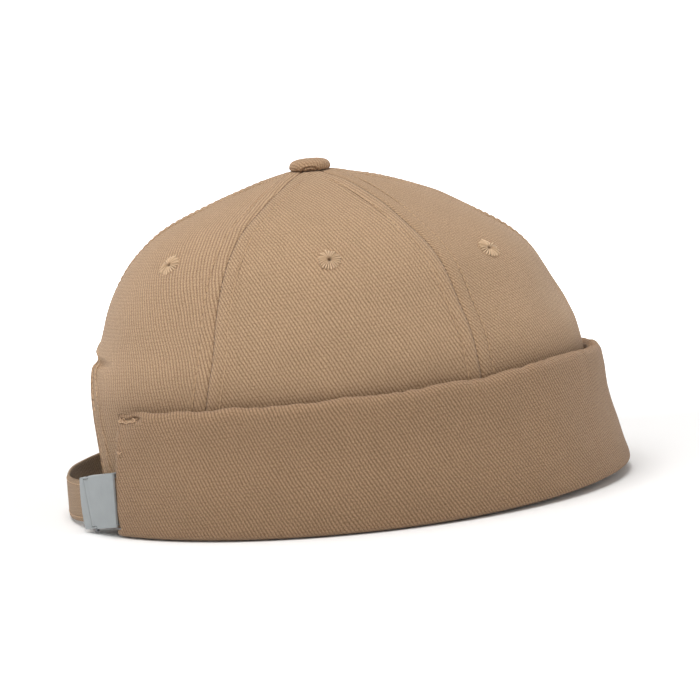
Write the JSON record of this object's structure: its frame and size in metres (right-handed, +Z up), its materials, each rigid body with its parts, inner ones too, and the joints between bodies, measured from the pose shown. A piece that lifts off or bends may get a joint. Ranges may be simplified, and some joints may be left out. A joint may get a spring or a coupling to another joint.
{
  "type": "docker cap",
  "caption": "Brimless soft cap with a panelled twill crown, stitched eyelets, a cloth-covered button, a padded turned-up cuff, and an arched back opening closed by a strap with a flip buckle.",
  "frame": {"origin": "middle of the bounding box at the bottom, on the surface the cuff stands on", "axes": "+X is the front of the cap, +Y is the wearer's left, +Z is up along the crown"},
  "size_m": [0.2178, 0.1736, 0.1289],
  "materials": {
    "crown_twill": "tan cotton twill, matt, sewn double",
    "cuff_twill": "tan cotton twill, padded and turned up",
    "eyelet_thread": "tan embroidery thread laid radially",
    "buckle_paint": "matt blue-grey painted steel sheet",
    "bare_steel": "plain steel wire and rivet"
  },
  "bodies": {
    "cap": {"crown_panel_front_right": "crown_twill", "crown_panel_side_right": "crown_twill", "crown_panel_back_right": "crown_twill", "crown_panel_back_left": "crown_twill", "crown_panel_side_left": "crown_twill", "crown_panel_front_left": "crown_twill", "eyelet_front_right": "eyelet_thread", "eyelet_side_right": "eyelet_thread", "eyelet_back_right": "eyelet_thread", "eyelet_back_left": "eyelet_thread", "eyelet_side_left": "eyelet_thread", "eyelet_front_left": "eyelet_thread", "cuff": "cuff_twill", "opening_facing": "crown_twill", "button_cover": "crown_twill", "button_post": "bare_steel", "strap_long": "crown_twill", "strap_short": "crown_twill", "buckle_frame": "buckle_paint", "buckle_pin": "bare_steel"},
    "buckle_lever": {"buckle_lever": "buckle_paint"}
  },
  "joints": [
    {"name": "buckle_lever_hinge", "type": "hinge", "parent": "cap", "child": "buckle_lever", "pos_m": [-0.09563, -0.0428, 0.01152], "axis": [0.0963, -0.1191, -0.9882], "range_deg": [0, 90]}
  ]
}
